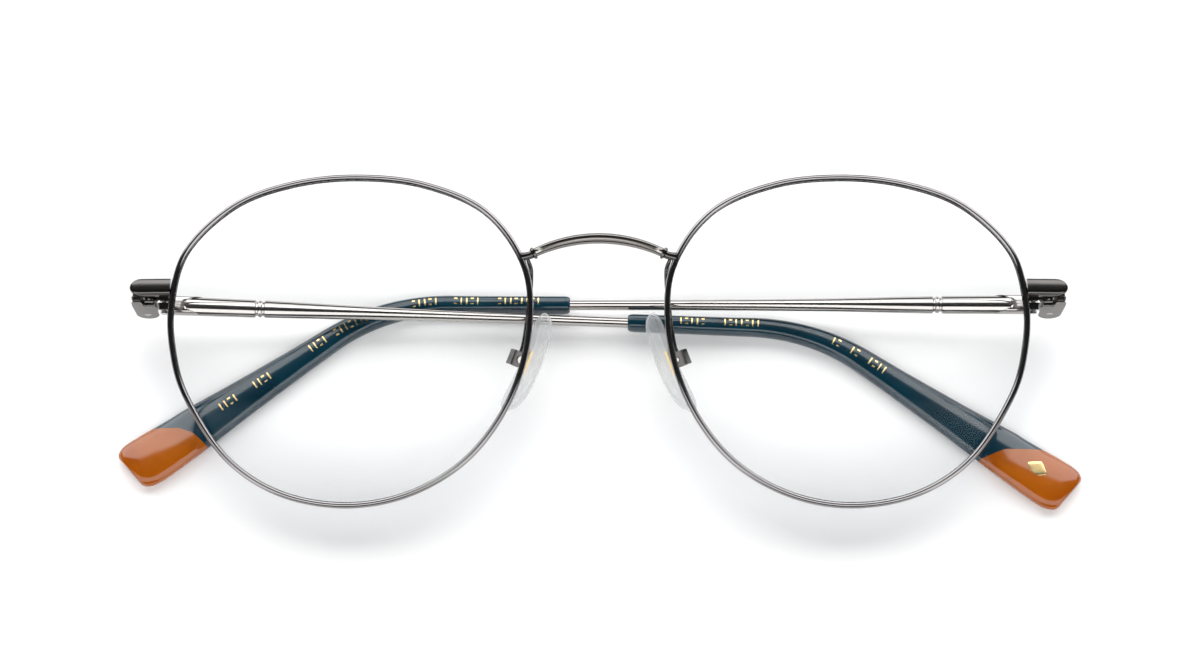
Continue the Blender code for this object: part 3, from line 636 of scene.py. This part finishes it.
def bar_ring(word, s):
    """One section of a bar: a dome that opens out of the flat tongue in a spear point."""
    height = between(BAR_HEIGHT, s) * MM
    thick = between(BAR_THICK, s) * MM
    share = min(max((s - RIB_START) / (RIB_FULL - RIB_START), 0.0), 1.0)
    rib = 1.02 * math.sqrt(1 - (1 - share) ** 2)
    points = []
    for k in range(41):
        a = math.cos(math.pi * (1 - k / 40))
        dome = math.sqrt(max(1 - a * a, 0.0))
        flat = max(1 - abs(a) ** 8, 0.0) ** 0.5
        points.append((a * height / 2, thick * (0.62 * (dome if abs(a) < rib else flat) - 0.12)))
    for k in range(1, 12):
        angle = math.pi * k / 12
        points.append((math.cos(angle) * height / 2, -thick * (0.12 + 0.38 * math.sin(angle) ** 0.6)))
    return [temple_point(word, s * MM, a, out) for a, out in points]


def stations(marks, count):
    """Distances along a temple: the given marks, with steps between them."""
    made = []
    for low, high, steps in zip(marks, marks[1:], count):
        made += [low + (high - low) * k / steps for k in range(steps)]
    return made + [marks[-1]]


TONGUE = arc((0, 0), 1.2, 50, 310, 20) + [(1.2, -0.8), (2.6, -0.7), (2.6, 0.7), (1.2, 0.8)]
BAR_MARKS = stations((2.0, 5.1, 8.6, 15.25, 16.75, 24, 69.2), (3, 22, 6, 30, 6, 20))

for word, side in SIDES.items():
    rings = [bar_ring(word, s) for s in BAR_MARKS]
    rail = skin(rings)
    tongue = slab_rings(TONGUE, -0.5, 0.5, 0.08, lambda s, z, y: temple_point(word, s * MM, y * MM, z * MM))
    add_rings(rail, tongue)
    bmesh.ops.recalc_face_normals(rail, faces=rail.faces)
    piece(f"temple_rail_{word}", rail, BRIGHT, f"temple_{word}", [f"temple_bar_{word}"], 32)


# ---- Sleeves, amber ends and ornament.
# Each temple end is deep blue-green cellulose acetate slid over the bar's core wire, with an
# amber block of the same plastic laminated on at a slant. Both are tumbled to a high polish.
# Plain gold foil strokes are pressed into the inner face, and a gold lozenge into the left end.

SLEEVE_HEIGHT = (
    (69.0, 1.9), (69.1, 2.15), (69.35, 2.36), (69.8, 2.48), (78, 2.52), (84, 2.62), (88, 2.72), (92, 2.87),
    (96, 3.07), (100, 3.32), (104, 3.62), (110, 4.17), (120, 5.45), (129, 7.0), (134.5, 7.62), (136.6, 7.66),
    (137.4, 7.56), (138.1, 7.2), (138.6, 6.7), (138.95, 6.1), (139.15, 5.3),
)
SLEEVE_DEPTH = (
    (69.0, 1.8), (69.1, 2.1), (69.35, 2.34), (69.8, 2.46), (72, 2.5), (96, 2.5), (136, 2.2), (137.8, 2.2),
    (138.5, 2.05), (138.9, 1.85), (139.15, 1.5),
)
JOINT = {
    "left": ((-3.6, 125.8), (-3.2, 126.1), (0.06, 128.1), (3.65, 132.9), (3.9, 133.3)),
    "right": ((-3.9, 128.3), (-0.7, 128.9), (1.06, 130.0), (3.8, 133.35), (4.0, 133.6)),
}
TIP_LEAN = 0.105
FACE_POINTS = 29
FACE_TILT = 0.09


def tip_section(height, thick, crown):
    """An acetate section: crowned inner face, rounded edges and a flat underside."""
    points = []
    for k in range(FACE_POINTS):
        turn = math.pi * (1 - k / (FACE_POINTS - 1))
        a = math.cos(turn)
        dome = 1 - abs(a) ** 2.4
        edge = max(1 - abs(a) ** (5.0 if a > 0 else 11.0), 0.0) ** 0.5
        low = -thick * 0.08
        points.append((a * height / 2, low + (thick / 2 - crown - low) * edge + crown * dome * edge))
    for k in range(1, 14):
        turn = math.pi * k / 14
        a = math.cos(turn)
        edge = max(1 - abs(a) ** 7, 0.0) ** 0.5
        points.append((a * height / 2, -thick * 0.08 - (thick / 2 - thick * 0.08) * edge))
    return points


def tip_ring(word, spot_at):
    """One ring of a sleeve or end; spot_at gives the distance along for a height across."""
    ring = []
    guess = between(SLEEVE_HEIGHT, spot_at(0.0))
    count = len(tip_section(1.0, 1.0, 0.1))
    for k in range(count):
        a = tip_section(guess, 1.0, 0.1)[k][0]
        s = spot_at(a)
        height = between(SLEEVE_HEIGHT, s)
        thick = between(SLEEVE_DEPTH, s)
        crown = min(0.5, 0.09 * height + 0.1)
        a, out = tip_section(height, thick, crown)[k]
        if k < FACE_POINTS:
            out -= FACE_TILT * a * min(max((s - 128) / 1.2, 0.0), 1.0) * min(max((138 - s) / 6, 0.0), 1.0)
        lean = TIP_LEAN * min(max((s - 126) / 10, 0.0), 1.0)
        ring.append(temple_point(word, s * MM, a * MM, out * MM, lean))
    return ring


def joint_at(word, a):
    return between(JOINT[word], a)


def acetate(name, deep, pale, drift, coat):
    """Polished cellulose acetate: soft drifts of colour under a clear tumbled gloss."""
    finish, start = new_material(
        name, Specular_IOR_Level=0.5, Coat_Roughness=0.03, Coat_IOR=1.5, Subsurface_Weight=drift,
        Subsurface_Radius=(1.0, 0.6, 0.3), Subsurface_Scale=0.0012,
    )
    place = start.node("ShaderNodeTexCoord", None, None, 3)
    swirl = {"Vector": place, "Scale": 160.0, "Detail": 3.0, "Distortion": 0.6}
    cloud = start.node("ShaderNodeTexNoise", None, swirl)
    feed(finish, "Base Color", cloud.rise(0.3, 0.7).blend(deep, pale))
    rub = start.node("ShaderNodeTexNoise", None, {"Vector": place, "Scale": 900.0, "Detail": 4.0})
    feed(finish, "Roughness", rub * 0.06 + 0.08)
    feed(finish, "Coat Weight", rub * 0.1 + coat)
    return finish


TEAL = acetate("teal_acetate", (0.0006, 0.019, 0.033), (0.001, 0.028, 0.047), 0.0, 0.25)
AMBER = acetate("amber_acetate", (0.30, 0.066, 0.001), (0.37, 0.092, 0.003), 0.12, 0.15)
GOLD = metal("gold_foil", (0.72, 0.52, 0.22), (0.86, 0.68, 0.34), 0.18, 0.30)

SLEEVE_MARKS = stations((69.0, 69.4, 70.0, 78, 116), (5, 4, 5, 44))
for word, side in SIDES.items():
    body = f"temple_{word}"
    rings = [tip_ring(word, lambda a, s=s: s) for s in SLEEVE_MARKS]
    for k in range(1, 13):
        share = k / 12
        rings.append(tip_ring(word, lambda a: 116 + (joint_at(word, a) - 0.01 - 116) * share))
    piece(f"sleeve_{word}", skin(rings), TEAL, body, [f"temple_sleeve_{word}"], 40)
    rings = []
    tail = (136.0, 136.6, 137.2, 137.7, 138.1, 138.45, 138.7, 138.9, 139.05, 139.15)
    for k in range(9):
        share = k / 8
        rings.append(tip_ring(word, lambda a: joint_at(word, a) + (tail[0] - joint_at(word, a)) * share))
    rings += [tip_ring(word, lambda a, s=s: s) for s in tail[1:]]
    piece(f"amber_end_{word}", skin(rings), AMBER, body, [f"tip_end_{word}"], 40)


LOZENGE = (133.4, 0.26, 1.7, 1.3)
FOIL_STEP = 0.8
FOIL_TALLEST = 1.15
FOIL_RUNS = {
    "right": ((73.5, 80), (82.3, 86.4), (88.4, 92.6), (98, 104), (105.6, 109), (115.2, 118.6), (121, 124)),
    "left": ((76.6, 80.4), (83, 88.4), (99, 100.6), (102, 103.6), (105, 108)),
}


def inner_face(s, across):
    """Height of a sleeve's crowned inner face at a place along and across it."""
    height = between(SLEEVE_HEIGHT, s)
    crown = min(0.5, 0.09 * height + 0.1)
    return between(SLEEVE_DEPTH, s) / 2 - crown * abs(2 * across / height) ** 2.4


def foil(word, bm, s, across, length, height):
    """One pressed foil stroke, a hair proud of the acetate and following its crown."""
    rows = []
    for k in range(7):
        a = across + (k / 6 - 0.5) * height
        row = []
        for end_s, lift in ((s, -0.05), (s + length, -0.05), (s + length, 0.014), (s, 0.014)):
            row.append(temple_point(word, end_s * MM, a * MM, (inner_face(end_s, a) + lift) * MM))
        rows.append(row)
    add_rings(bm, rows)


for word, runs in FOIL_RUNS.items():
    bm = bmesh.new()
    for start, end in runs:
        across = 0.04 * between(SLEEVE_HEIGHT, start)
        tall = min(0.4 * between(SLEEVE_HEIGHT, start), FOIL_TALLEST)
        for k in range(round((end - start) / FOIL_STEP)):
            s = start + k * FOIL_STEP
            if k % 3 == 1:
                foil(word, bm, s - 0.12, across + 0.4 * tall, 0.46, 0.2 * tall)
                foil(word, bm, s - 0.12, across - 0.4 * tall, 0.46, 0.2 * tall)
            else:
                foil(word, bm, s, across, 0.2, tall)
    bmesh.ops.recalc_face_normals(bm, faces=bm.faces)
    piece(f"foil_strokes_{word}", bm, GOLD, f"temple_{word}")

place, offset, half_length, half_height = LOZENGE
rings = []
for out, share in ((0.85, 0.96), (1.09, 0.96), (1.13, 0.93), (1.145, 0.86), (1.15, 0.5), (1.15, 0.05)):
    ring = []
    for k in range(24):
        angle = 2 * math.pi * k / 24
        reach = share / (abs(math.cos(angle)) ** 1.15 + abs(math.sin(angle)) ** 1.15) ** (1 / 1.15)
        s = place + reach * half_length * math.cos(angle)
        a = offset + reach * half_height * math.sin(angle)
        ring.append(temple_point("left", s * MM, a * MM, out * MM))
    rings.append(ring)
piece("gold_lozenge", skin(rings), GOLD, "temple_left", ["tip_ornament_left"], 50)


# ---- Nose pads, inserts, boxes and arms.
# Each pad is clear silicone moulded over a small metal plate whose stem sits in a box with a
# cross screw, so the pad rocks a little. The box hangs on a bent wire soldered to the rim.
# Box and wire are given the darker copy of the frame's plating, which is painted shade.

ARM_ROUTE = (
    (10.6, 5.2, 0.1, 0.04), (10.32, 4.3, 0.0, 0.08), (9.98, 3.5, -0.25, 0.28), (9.68, 2.7, -0.9, 0.32),
    (9.62, 2.0, -1.75, 0.33), (9.75, 0.2, -2.9, 0.36), (10.0, -2.6, -3.6, 0.34), (10.35, -5.6, -3.9, 0.34),
    (10.9, -8.5, -4.0, 0.34),
)
PAD_HALF_WIDTH = 3.7
PAD_HALF_LENGTH = 7.6
PAD_CENTRE = Vector((9.88, -10.47, -4.9)) * MM
PAD_DOWN = Vector((0.365, -0.926, -0.10)).normalized()
PAD_FACE = Vector((-0.884, -0.271, -0.382)).normalized()


def pad_place(side):
    """The pad's own frame: X across it, Y up it and Z out of its face."""
    flip = Vector((side, 1, 1))
    up = -PAD_DOWN * flip
    across = up.cross(PAD_FACE * flip).normalized()
    out = across.cross(up).normalized()
    turn = Matrix((across, up, out)).transposed().to_4x4()
    return FRONT @ Matrix.Translation(PAD_CENTRE * flip) @ turn


def silicone_finish():
    finish, start = new_material(
        "clear_silicone", Roughness=0.14, IOR=1.41, Coat_Weight=0.4, Coat_Roughness=0.1, Subsurface_Weight=0.0
    )
    tree = finish.node_tree
    place = start.node("ShaderNodeTexCoord", None, None, 3)
    haze = start.node("ShaderNodeTexNoise", None, {"Vector": place, "Scale": 500.0, "Detail": 3.0})
    feed(finish, "Base Color", haze.blend((0.60, 0.62, 0.63), (0.70, 0.71, 0.71)))
    edge = start.node("ShaderNodeLayerWeight", None, {"Blend": 0.35}, 1)
    feed(finish, "Alpha", edge * 0.62 + 0.14)
    return finish


SILICONE = silicone_finish()

for word, side in SIDES.items():
    frame_of_pad = pad_place(side)
    rings = []
    for k in range(25):
        turn = math.pi * (k + 0.35) / 25.7
        up = math.cos(turn)
        ring = []
        for j in range(28):
            angle = 2 * math.pi * j / 28
            wide = (1 - abs(up) ** 3.5) ** 0.5
            thick = (1 - abs(up) ** 6) ** 0.5
            across = math.cos(angle) * wide * PAD_HALF_WIDTH * (0.88 - 0.10 * up)
            sag = (0.5 if up > 0 else 1.0) * up * up
            out = math.sin(angle) * thick * (1.45 if math.sin(angle) > 0 else 1.0) - sag
            ring.append(frame_of_pad @ (Vector((across, up * PAD_HALF_LENGTH, out)) * MM))
        rings.append(ring)
    pad = f"pad_{word}"
    piece(f"pad_cushion_{word}", skin(rings), SILICONE, pad, [f"nose_pad_{word}"], 60)
    rounded_copy(f"pad_insert_{word}", f"pad_plate_{word}", GOLD, pad, 0.06 * MM)
    # The pad box takes the darker plating copy: painted shade.
    rounded_copy(f"pad_box_{word}", f"pad_holder_{word}", PAINTED_SHADE_PLATE, "front", 0.35 * MM)
    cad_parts[f"pad_screw_{word}"].data.materials.clear()
    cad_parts[f"pad_screw_{word}"].data.materials.append(SCREW_STEEL)
    low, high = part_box(f"pad_box_{word}")
    box_middle = FRONT.inverted() @ ((Vector(low) + Vector(high)) / 2) / MM
    box_middle.x *= side
    box_middle.z += box_middle.x**2 / (2 * WRAP_RADIUS / MM)
    marks = [Vector(mark) for mark in ARM_ROUTE]
    marks += [Vector((*box_middle, 0.34)), Vector((*(box_middle + Vector((0.4, -1.5, 0))), 0.34))]
    rings = []
    for i in range(len(marks) - 3):
        for step in range(5):
            x, y, z, thick = smooth_spot(*marks[i : i + 4], step / 5)
            ahead = smooth_spot(*marks[i : i + 4], step / 5 + 0.01)
            along = (ahead - Vector((x, y, z, thick))).to_3d().normalized()
            wide = along.cross(Vector((0, 0, 1))).normalized()
            tall = wide.cross(along)
            ring = []
            for k in range(14):
                angle = 2 * math.pi * k / 14
                spot = Vector((x, y, z)) + (wide * math.cos(angle) + tall * math.sin(angle)) * thick
                ring.append(front_spot(side * spot.x * MM, spot.y * MM, spot.z * MM))
            rings.append(ring)
    # The arm wire takes the darker plating copy too: painted shade.
    piece(f"pad_wire_{word}", skin(rings), PAINTED_SHADE_PLATE, "front", [f"pad_arm_{word}"], 60)
